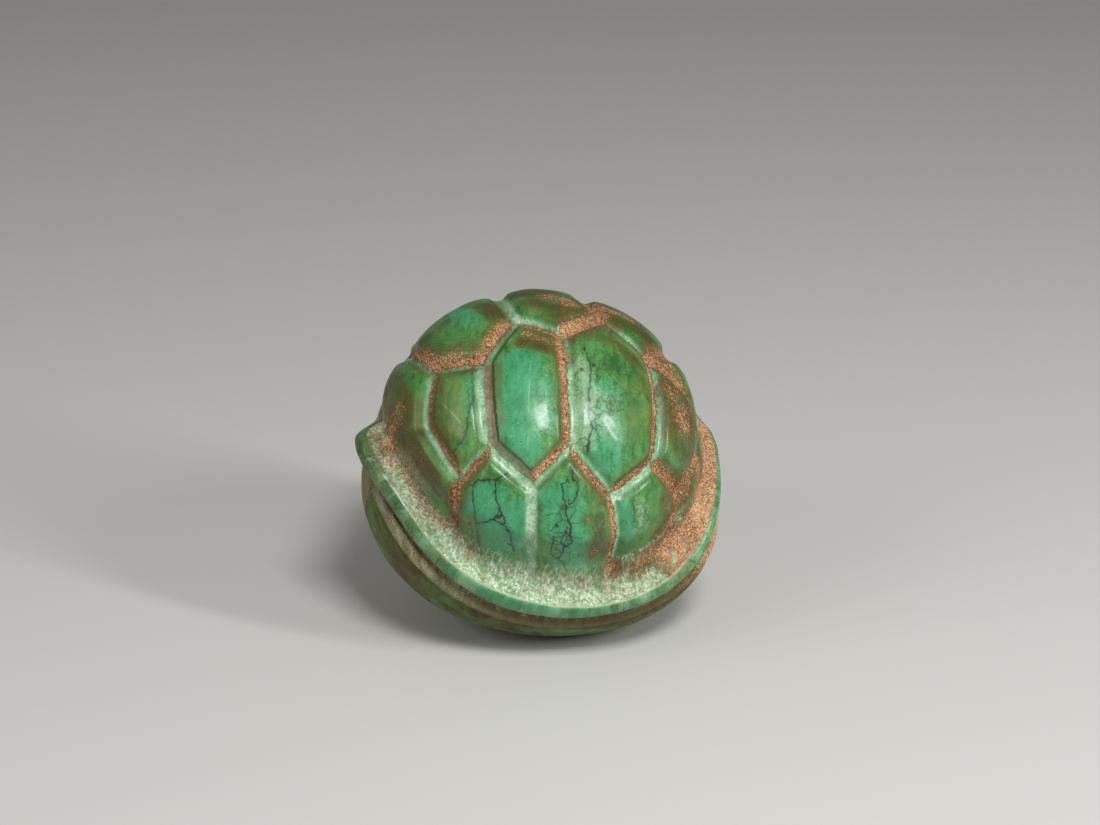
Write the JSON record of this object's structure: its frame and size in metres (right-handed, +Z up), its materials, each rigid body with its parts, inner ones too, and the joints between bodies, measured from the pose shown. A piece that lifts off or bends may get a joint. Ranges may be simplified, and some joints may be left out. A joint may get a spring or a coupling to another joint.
{
  "type": "carved turtle shell",
  "caption": "Closed turtle shell carved from solid mottled green stone: pillow-like scutes on a high dome, a flaring rounded lip, a groove, a ridge and a deep belly with a small worn flat.",
  "frame": {"origin": "middle of the small worn flat under the belly, on the surface the shell rests on", "axes": "+Z up, -Y towards the near flank that the dome leans over, +X to the right end of the spine as seen from that flank"},
  "size_m": [0.058, 0.0544, 0.0558],
  "materials": {
    "green_stone": null
  },
  "bodies": {
    "root": {"turtle_shell": "green_stone"}
  },
  "joints": []
}
